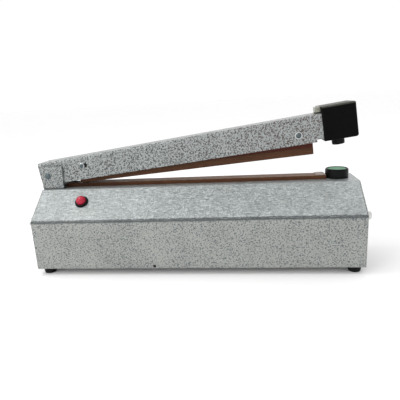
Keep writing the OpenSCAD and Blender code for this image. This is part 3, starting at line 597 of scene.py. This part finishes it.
# ------------------------------------------------------------------ jaws
def cloth_shell(name, xs, section, thick, wob, seed):
    """A stretched cloth over a bar: section(x) gives the outer line in (y, z); the shell is closed, with its own thickness."""
    bm = bmesh.new()
    outer, inner = [], []
    for x in xs:
        line = [Vector(p) for p in section(x)]
        ro, ri = [], []
        for i, p in enumerate(line):
            t = (line[min(i + 1, len(line) - 1)] - line[max(i - 1, 0)]).normalized()
            nrm = Vector((-t.y, t.x))
            d = wob * noise.noise(Vector((x * 0.035 + seed, p.x * 0.12, p.y * 0.12))) + wob * 0.6 * noise.noise(Vector((x * 0.16 + seed, p.x * 0.3, p.y * 0.3 + 9)))
            q = p + nrm * (d - abs(wob))
            ro.append(bm.verts.new((x, q.x, q.y)))
            qi = q - nrm * thick
            ri.append(bm.verts.new((x, qi.x, qi.y)))
        outer.append(ro); inner.append(ri)
    n = len(outer[0])
    for a, b, flip in ((outer[i], outer[i + 1], 0) for i in range(len(xs) - 1)):
        for k in range(n - 1): bm.faces.new((a[k], a[k + 1], b[k + 1], b[k]))
    for i in range(len(xs) - 1):
        a, b = inner[i], inner[i + 1]
        for k in range(n - 1): bm.faces.new((a[k], b[k], b[k + 1], a[k + 1]))
        for k in (0, n - 1): bm.faces.new((outer[i][k], outer[i + 1][k], inner[i + 1][k], inner[i][k]))
    for i in (0, len(xs) - 1):
        for k in range(n - 1): bm.faces.new((outer[i][k], inner[i][k], inner[i][k + 1], outer[i][k + 1]))
    return new_obj(name, bm)


def u_line(y0, y1, base, top, r, n=14, m=3):
    """Outer line of an upside-down U from the front foot over the top to the rear foot."""
    out = [(y0, base + (top - r - base) * k / m) for k in range(m)]
    out += [(y0 + r - r * math.cos(a), top - r + r * math.sin(a)) for a in [math.pi / 2 * k / 5 for k in range(6)]]
    out += [(y0 + r + (y1 - y0 - 2 * r) * k / n, top) for k in range(1, n)]
    out += [(y1 - r + r * math.sin(a), top - r + r * math.cos(a)) for a in [math.pi / 2 * k / 5 for k in range(6)]]
    out += [(y1, top - r - (top - r - base) * k / m) for k in range(1, m + 1)]
    return out


xs = [JX0 + (JX1 - JX0) * i / 260 for i in range(261)]
low = cloth_shell('jaw_cloth', xs, lambda x: u_line(YC - 10, YC + 10, ZT + 0.05, ZT + JH - 0.02, 0.9), 0.28, 0.10, 3.1)
finish_piece(low, MB, cloth_low, 'base', 'lower_jaw_cover', 60, False)

# folded end of the lower cloth: two gathered layers lying on the bar
def fold_end(name, x0, x1, z, layers):
    bm = bmesh.new()
    nx, ny = 26, 22
    for L in range(layers):
        zz = z + L * 0.42
        xa, xb = x0 + L * 0.9, x1 - L * 1.3
        top, bot = [], []
        for i in range(nx + 1):
            x = xa + (xb - xa) * i / nx
            rt, rb = [], []
            for j in range(ny + 1):
                y = YC - 9.9 + 19.8 * j / ny
                puck = 0.34 * noise.noise(Vector((x * 0.55, y * 0.35 + L * 7, 1.7))) + 0.22 * math.sin(x * 1.5 + 0.35 * math.sin(y * 0.9) + L)
                edge = min(1.0, (x - xa) / 1.2, (xb - x) / 0.9 + 0.2)
                h = zz + (0.16 + puck * 0.55) * max(0.0, edge)
                rt.append(bm.verts.new((x, y, h + 0.28)))
                rb.append(bm.verts.new((x, y, h)))
            top.append(rt); bot.append(rb)
        for i in range(nx):
            for j in range(ny):
                bm.faces.new((top[i][j], top[i + 1][j], top[i + 1][j + 1], top[i][j + 1]))
                bm.faces.new((bot[i][j], bot[i][j + 1], bot[i + 1][j + 1], bot[i + 1][j]))
        for i in range(nx):
            for j in (0, ny): bm.faces.new((top[i][j], bot[i][j], bot[i + 1][j], top[i + 1][j]))
        for j in range(ny):
            for i in (0, nx): bm.faces.new((top[i][j], top[i][j + 1], bot[i][j + 1], bot[i][j]))
    return new_obj(name, bm)


fold = fold_end('jaw_cloth_fold', JX1 - 12, JX1 - 0.1, ZT + JH - 0.05, 2)
finish_piece(fold, MB, cloth_fold, 'base', None, 60, False)

press = prism('press_bar', [(-9.6, FB + 4, 0.3), (9.6, FB + 4, 0.3), (9.6, FT, 0.8), (-9.6, FT, 0.8)], 'x', FL, FL + PL, 4)
bevel(press, 0.35, 2, 60)
dx, dz, g0 = LV[0] - PV[0], LV[1] - PV[1], AA - BA
boolean(press, [cyl(2.05, 60, 0, -30, 0, 'y'),
                slot_cut(7.6, 4.6, 60, dx * math.cos(g0) - dz * math.sin(g0), 0, dx * math.sin(g0 + TILTBAR / 2) + dz * math.cos(g0), 'y', True)])
finish_piece(press, MP, phenolic, 'press', 'press_bar')

sil = prism('silicone', [(-9.2, FB + 0.5, 0.6), (9.2, FB + 0.5, 0.6), (9.2, FB + 4), (-9.2, FB + 4)], 'x', FL + 0.4, FL + PL - 0.4, 4)
finish_piece(sil, MP, silicone, 'press', 'silicone_strip')

xs = [FL + PL * i / 240 for i in range(241)]
up = cloth_shell('press_cloth', xs, lambda x: [(a, FB + (ZT + 9 - b)) for a, b in
                                               u_line(-10, 10, ZT + 0.05 + 0.35 * abs(noise.noise(Vector((x * 0.05, 3.3, 0)))), ZT + 9 - 0.02, 0.9)][::-1], 0.26, 0.09, 8.7)
finish_piece(up, MP, cloth_up, 'press', 'press_cover', 60, False)

# ------------------------------------------------------------------ arm
arm = prism('arm', [(-AW, -40), (-AW, VT, 3.0), (AW, VT, 3.0), (AW, -40), (AW - 2, -40), (AW - 2, VT - 2, 1.2), (-AW + 2, VT - 2, 1.2), (-AW + 2, -40)], 'x', U0 - 5, U1, 7)
boolean(arm, prism('c', [(U0, VBL + 1.5, 1.0), (U0 + 2, VBL, 2.0), (USTEP, VBR, 0.8), (USTEP, VBR + 3, 0.8), (U1 + 5, VBR + 3), (U1 + 5, VT + 5), (U0, VT + 5)], 'y', -25, 25, 6), 'INTERSECT')
boolean(arm, [cyl(3.05, 60, 0, -30, 0, 'y'), slot_cut(9.6, 5.0, 60, LV[0] + 2.2, 0, LV[1]), cyl(2.05, 60, PV[0], -30, PV[1], 'y'), cyl(2.05, 60, 368, -30, 4, 'y'),
              bar(USTEP, U1 + 1, -1.8, 1.8, 0, 40)])
bevel(arm, 0.28, 2, 50)
finish_piece(arm, MA, paint_arm, 'arm', 'arm_channel')

tang = prism('tang', [(341, -4), (381, -4), (381, 21), (CU0, 21), (CU0, CV1 - 1), (345.3, CV1 - 1), (345.3, VT - 2.3), (341, VT - 2.3)], 'y', -1.5, 1.5, 7)
boolean(tang, prism('c', [(345.3, 19.2, 0.3), (CU0, 19.2), (CU0, CV1), (345.3, CV1, 0.5)], 'y', -14, 1.5), 'UNION')
boolean(tang, cyl(2.05, 60, 368, -30, 4, 'y'))
bevel(tang, 0.4, 2, 50)
finish_piece(tang, MA, paint_tang, 'arm', 'handle_tang')

cap = prism('cap', [(CU0, CV0, 1.2), (CU1, CV0, 3.4), (CU1, CV1, 2.0), (CU0, CV1, 0.7)], 'y', -CW, CW, 8)
boolean(cap, prism('c', [(-CW, CV0, 1.8), (CW, CV0, 1.8), (CW, CV1, 3.6), (-CW, CV1, 3.6)], 'x', CU0 - 2, CU1 + 2, 8), 'INTERSECT')
boolean(cap, prism('c', [(CU0, -CW, 2.8), (CU1, -CW, 1.4), (CU1, CW, 1.4), (CU0, CW, 2.8)], 'z', CV0 - 2, CV1 + 2, 8), 'INTERSECT')
boolean(cap, [bar(CU0 - 1, 382.3, -AW - 0.2, AW + 0.2, VBR + 2.6, VT + 0.2), bar(CU0 - 1, 382.3, -2, 2, 0, 21.3), cyl(2.05, 10, SU, 0, CV0 - 1),
              cyl(3.8, 2.4, 368, -AW - 2.1, 4, 'y'), cyl(3.8, 2.4, 368, AW - 0.3, 4, 'y')])
finish_piece(cap, MA, black_cap, 'arm', 'handle_cap')

stub = lathe('stub', [(4.0, 0.3), (4.3, 0), (6.2, 0), (7.0, 0.3), (7.4, 0.9), (7.5, 1.6), (7.5, CV0 - SV), (2.05, CV0 - SV), (2.05, 3.4), (4.0, 3.4)], 56, ring=True)
finish_piece(moved(stub, at(SU, 0, SV)), MA, rubber, 'arm', 'striker_stub', 50)

# press-bar bolts: a small slotted head in the obround hole, a domed one on a washer at the handle end
b1 = moved(pan_head(3.7, 2.4, 2, 2 * AW + 5.4, 0.9), Matrix.Rotation(0.35, 4, 'Z'))
b2 = moved(lathe('b', [(0, -2 * AW - 5.4), (1.7, -2 * AW - 5.4), (2, -2 * AW - 5), (2, 0), (4.2, 0), (4.2, 0.55), (3.5, 0.7), (3.35, 1.0)] + [(3.2 * math.cos(a), 1.0 + 1.5 * math.sin(a)) for a in [math.pi / 2 * k / 7 for k in range(1, 7)]] + [(0, 2.5)], 48), Matrix.Identity(4))
bolts = join('press_bolts', [moved(b1, at(LV[0], -AW, LV[1], '-y')), moved(b2, at(PV[0], -AW, PV[1], '-y'))])
finish_piece(bolts, MA, dark_steel, 'arm', 'press_bolts', 35)
# Bolt heads get a bright rim around a dark centre: the domed bolt's washer is bright zinc, and the bright ring over the
# rim of both heads is a painted highlight.
bolts.data.materials.append(bright)
back = MA.inverted()
for q in bolts.data.polygons:
    c = back @ q.center
    for (u, v), r in ((LV, 2.7), (PV, 3.1)):
        if math.hypot(c.x - u, c.z - v) > r and math.hypot(c.x - u, c.z - v) < 6: q.material_index = 1


def hex_nut(af, h, r):
    o = lathe('n', [(r, 0), (af / 2 / math.cos(math.pi / 6), 0), (af / 2 / math.cos(math.pi / 6), h), (r, h)], 6, ring=True)
    c = lathe('c', [(0, -0.1), (af / 2, -0.1), (af / 2 + 1.2, 0.75), (af / 2 + 1.2, h - 0.75), (af / 2, h + 0.1), (0, h + 0.1)], 40)
    return boolean(o, c, 'INTERSECT')


nuts = [moved(hex_nut(6.9, 3.2, 2.03), at(u, AW, v, 'y')) for u, v in (LV, PV)]
finish_piece(join('press_nuts', nuts), MA, zinc, 'arm', 'press_nuts', 30)

# ------------------------------------------------------------------ push button
bz = lathe('bezel', [(4.05, 0.5), (4.05, 2.0), (11.6, 2.0), (11.6, BH - 0.5), (11.9, BH - 0.1), (12.3, BH), (12.7, BH - 0.1), (13.6, BH - 0.7), (13.9, BH - 1.4), (14.0, BH - 2.4), (14.0, 1.0),
                     (13.8, 0.3), (13.4, 0.0), (11.0, 0.0), (11.0, -24), (4.05, -24), (4.05, -22), (8, -22), (8, 0.5)], 96, ring=True)
finish_piece(moved(bz, at(BX, BY, ZT)), MB, black_gloss, 'base', 'button_bezel', 40)
gc = lathe('start_cap', [(0, -27), (4, -27), (4, -4.1), (6.7, -4.1), (6.7, -2.5), (4, -2.5), (4, BH - 6.2), (11.2, BH - 6.2), (11.2, BH - 1.3), (11.0, BH - 0.8), (10.5, BH - 0.45), (9.6, BH - 0.4),
                         (9.0, BH - 0.55), (8.0, BH - 0.85), (5, BH - 1.0), (0, BH - 1.05)], 96)
finish_piece(moved(gc, at(BX, BY, ZT)), MB, green_cap, 'button', 'button_cap', 50)
pts = []
for k in range(7 * 20 + 1):
    a = 2 * math.pi * k / 20
    pts.append((BX + 6.2 * math.cos(a), BY + 6.2 * math.sin(a), ZT - 21.2 + 16.1 * k / 140))
sp = tube('button_coil', pts, 0.6, 8)
finish_piece(sp, MB, steel, 'base', 'button_spring')
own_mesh(sp)

# ------------------------------------------------------------------ pilot lamp
lb = lathe('lamp_ring', [(5.05, -20), (5.05, 2.0), (6.15, 2.2), (6.3, 2.75), (6.9, 2.9), (7.6, 2.6), (8.1, 1.9), (8.5, 0.5), (8.4, 0.0), (6.0, 0.0), (6.0, -22), (5.05, -22)], 72, ring=True)
finish_piece(lb, MS, black_gloss, 'base', 'lamp_bezel', 40)
prof = [(0, -4 + 2.5), (3.5, -1.5), (3.5, -4), (5.0, -4), (5.0, 2.6), (6.0, 2.6), (6.0, 3.6)]
prof += [(6.0 * math.cos(a) ** 0.85, 3.6 + 4.95 * math.sin(a)) for a in [math.pi / 2 * k / 12 for k in range(1, 12)]] + [(0, 8.55)]
finish_piece(lathe('lamp_dome', prof, 72), MS, red_lens, 'base', 'lamp_lens', 40)
finish_piece(lathe('neon', [(0, -14)] + [(2.5, -13.6), (2.5, -4)] + [(2.5 * math.cos(a), -4 + 2.3 * math.sin(a)) for a in (0.4, 0.8, 1.2)] + [(0, -1.6)], 32), MS, neon, 'base', 'lamp_bulb')
finish_piece(moved(hex_nut(13.9, 3, 6.02), Matrix.Translation((0, 0, -ST - 3))), MS, black_gloss, 'base', 'lamp_nut')

# ------------------------------------------------------------------ cord inlet (rubber grommet)
gr = lathe('inlet', [(3.5, -3.6), (8.1, -3.6), (8.5, -3.2), (8.5, -1.5), (8.1, -1.2), (7, -1.2), (7, 0), (8.1, 0), (8.5, 0.4), (8.5, 1.8), (8.0, 2.4), (6.2, 2.4), (5.8, 3.0), (5.6, 6.0), (5.2, 6.9), (4.4, 7.0), (3.5, 6.5)], 56, ring=True)
finish_piece(moved(gr, at(60, BD, Z0 + 24, 'y')), MB, rubber, 'base', 'cord_inlet', 50)

# ------------------------------------------------------------------ CAD nodes that stay, with their materials
stay = {'hinge_spacers': steel, 'bracket_screws': zinc, 'bracket_nuts': zinc, 'lower_jaw_bar': alu, 'jaw_bar_screws': zinc, 'element_pad': glass_cloth, 'heating_element': steel,
        'element_anchor_blocks': phenolic, 'element_clamp_screws': brass, 'transformer_core': core, 'transformer_bobbin': nylon, 'transformer_winding': copper, 'transformer_strap': zinc,
        'transformer_screws': zinc, 'button_nut': black_gloss, 'contact_block': black_gloss, 'terminal_strip': nylon, 'terminal_screws': zinc, 'lead_wires': pvc, 'tang_bolt': zinc,
        'striker_screw': zinc, 'press_spacers': zinc}
for n, m in stay.items():
    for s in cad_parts[n].material_slots: s.material = m

# ------------------------------------------------------------------ camera, floor and light
f, yaw, pitch, roll = 395.49, 0.1272, 0.2494, -0.0573
pos = (0.0682813, -0.4380322 + FY / 1000, 0.197997 + Z0 / 1000)
cy, sy, cp, sp_, cr, sr = math.cos(yaw), math.sin(yaw), math.cos(pitch), math.sin(pitch), math.cos(roll), math.sin(roll)
fwd = Vector((-sy * cp, cy * cp, -sp_)); right = Vector((cy, sy, 0)); upv = right.cross(fwd)
r2 = cr * right + sr * upv; u2 = -sr * right + cr * upv
cam = bpy.data.cameras.new('cam'); co = bpy.data.objects.new('cam', cam)
sc.collection.objects.link(co)
co.matrix_world = Matrix(((r2.x, u2.x, -fwd.x, pos[0]), (r2.y, u2.y, -fwd.y, pos[1]), (r2.z, u2.z, -fwd.z, pos[2]), (0, 0, 0, 1)))
cam.lens, cam.sensor_width, cam.sensor_fit = f / 400 * 36, 36, 'HORIZONTAL'
cam.clip_start, cam.clip_end = 0.01, 50
sc.camera = co

bm = bmesh.new()
rows = [[bm.verts.new((x, y, 0)) for x in (-30, -6, -2, 2, 6, 30)] for y in (-8, -2, 2, 8, 30, 45)]
for a, b in zip(rows, rows[1:]):
    for k in range(5): bm.faces.new((a[k], a[k + 1], b[k + 1], b[k]))
floor = new_obj('floor', bm)
M = Mat('floor')
nf = M.noise(0.004, 3)
floor.data.materials.append(M.out(M.ramp(nf, [(0.3, (0.945, 0.945, 0.945)), (0.7, (0.955, 0.955, 0.955))]), 0.9, spec=0.1))

w = bpy.data.worlds.new('world'); sc.world = w; w.use_nodes = True
w.node_tree.nodes['Background'].inputs[0].default_value = (1, 1, 1, 1)
w.node_tree.nodes['Background'].inputs[1].default_value = 1.04


def area(name, loc, target, size, energy, color=(1, 1, 1), size_y=None):
    l = bpy.data.lights.new(name, 'AREA')
    l.energy, l.size, l.color = energy, size, color
    if size_y: l.shape, l.size_y = 'RECTANGLE', size_y
    o = bpy.data.objects.new(name, l)
    o.location = loc
    o.rotation_euler = (Vector(target) - Vector(loc)).to_track_quat('-Z', 'Y').to_euler()
    sc.collection.objects.link(o)
    return o


area('key', (-0.70, -0.10, 1.25), (-0.10, 0, 0.08), 0.6, 4.2)
area('front', (-0.95, -1.05, 0.8), (-0.05, 0, 0.1), 0.7, 5.5, (1.0, 0.99, 0.97))
sc.view_settings.view_transform = 'Standard'
sc.view_settings.look = 'None'
